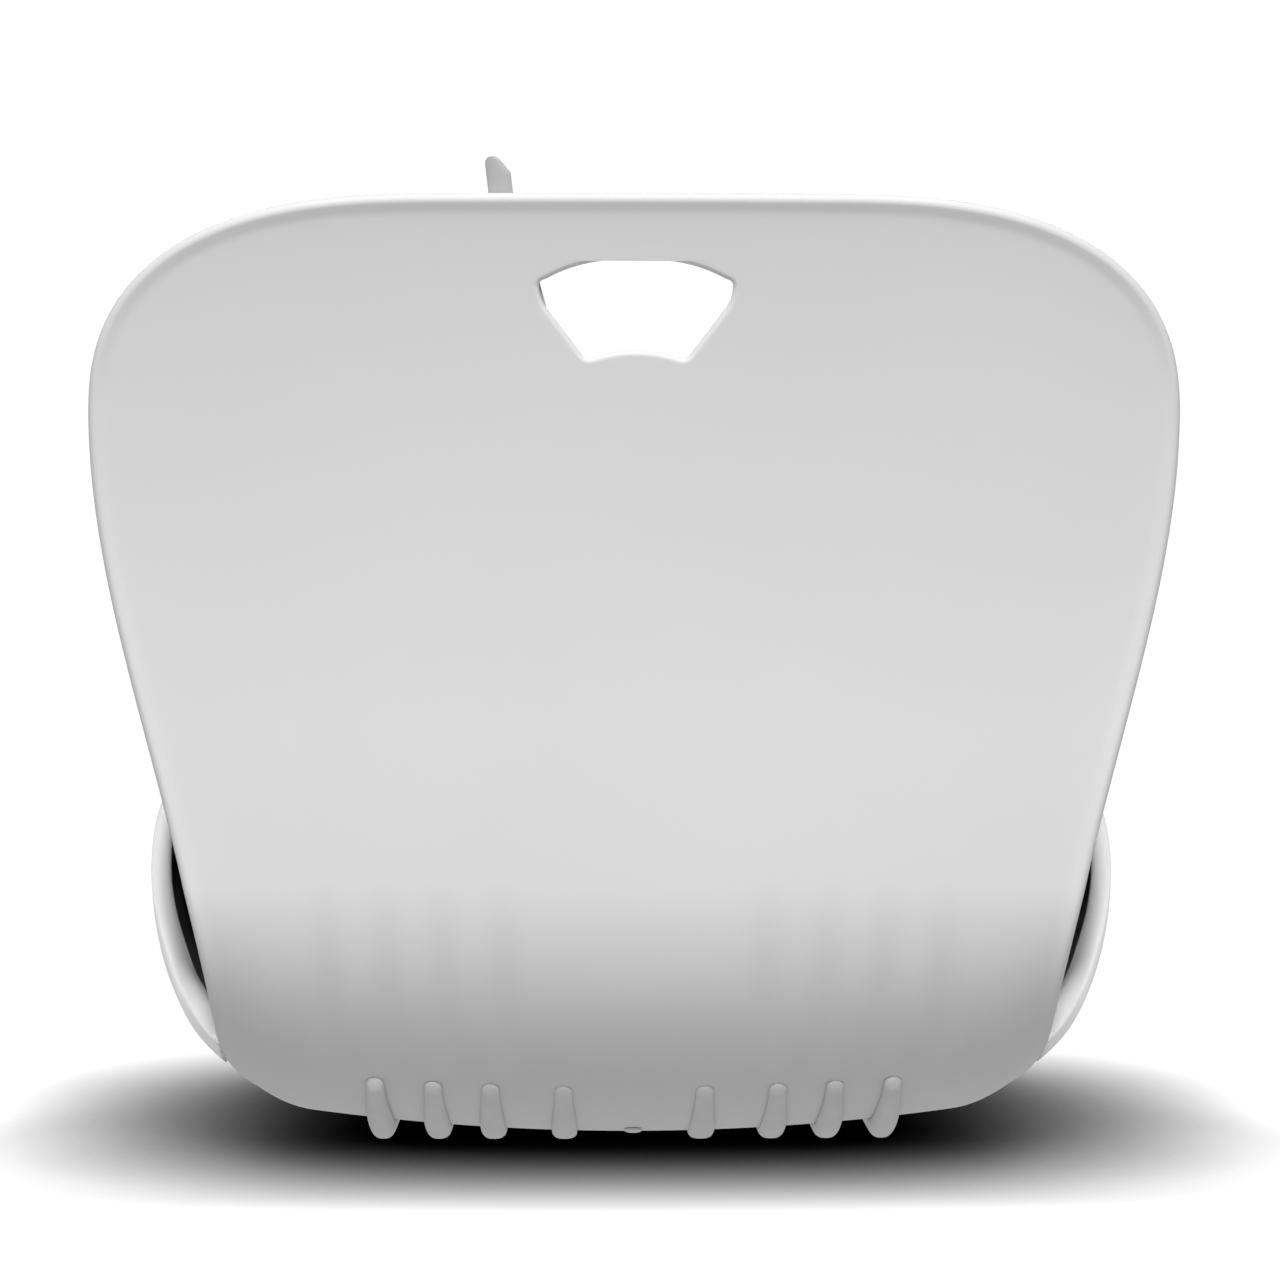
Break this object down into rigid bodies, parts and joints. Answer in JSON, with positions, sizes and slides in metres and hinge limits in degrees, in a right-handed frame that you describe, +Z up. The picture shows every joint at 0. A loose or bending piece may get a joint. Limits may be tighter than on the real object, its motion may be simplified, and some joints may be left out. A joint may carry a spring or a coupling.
{
  "type": "bedpan",
  "caption": "Sit-up bedpan: a tall moulded back with a hand slot on a hip-shaped base, with a seat and a lidded lift-out bowl, on long rubber runners.",
  "frame": {"origin": "on the floor, under the middle of the object's bounding box", "axes": "+X across the object, to the sitter's right; +Y from the back towards the front lip, the way the sitter faces; +Z up"},
  "size_m": [0.4336, 0.392, 0.3998],
  "materials": {
    "white_shell": "satin moulded polypropylene",
    "charcoal_liner": "fine texture",
    "grey_seat": "satin",
    "grey_bowl": "gloss",
    "steel_wire": "drawn wire",
    "pale_rubber": "matt",
    "tab_plastic": "flexible, slightly hazy"
  },
  "bodies": {
    "base": {"back_shell": "white_shell", "hip_shell": "white_shell", "pan_liner": "charcoal_liner", "drain_plug": "pale_rubber", "tab_stud": "white_shell", "rivet_1": "white_shell", "rivet_2": "white_shell", "rivet_3": "white_shell", "rivet_4": "white_shell", "runner_1": "pale_rubber", "runner_2": "pale_rubber", "runner_3": "pale_rubber", "runner_4": "pale_rubber", "runner_5": "pale_rubber", "runner_6": "pale_rubber", "runner_7": "pale_rubber", "runner_8": "pale_rubber"},
    "seat": {"seat_ring": "grey_seat"},
    "bowl": {"bowl": "grey_bowl"},
    "lid": {"lid": "grey_bowl", "lid_knob": "grey_seat"},
    "bail": {"bail": "steel_wire", "bail_grip": "grey_seat"},
    "tab": {"hang_tab": "tab_plastic"}
  },
  "joints": [
    {"name": "seat_lift", "type": "slide", "parent": "base", "child": "seat", "axis": [0, 0, 1], "range_m": [0, 0.12]},
    {"name": "bowl_lift", "type": "slide", "parent": "seat", "child": "bowl", "axis": [0, 0, 1], "range_m": [0, 0.16]},
    {"name": "lid_lift", "type": "slide", "parent": "bowl", "child": "lid", "axis": [0, 0, 1], "range_m": [0, 0.06]},
    {"name": "bail_swing", "type": "hinge", "parent": "bowl", "child": "bail", "pos_m": [0, 0.02373, 0.0878], "axis": [-1, 0, 0], "range_deg": [0, 95]},
    {"name": "tab_swing", "type": "hinge", "parent": "base", "child": "tab", "pos_m": [-0.04551, -0.18434, 0.36652], "axis": [0.0274, 0.9634, 0.2668], "range_deg": [-20, 20]}
  ]
}
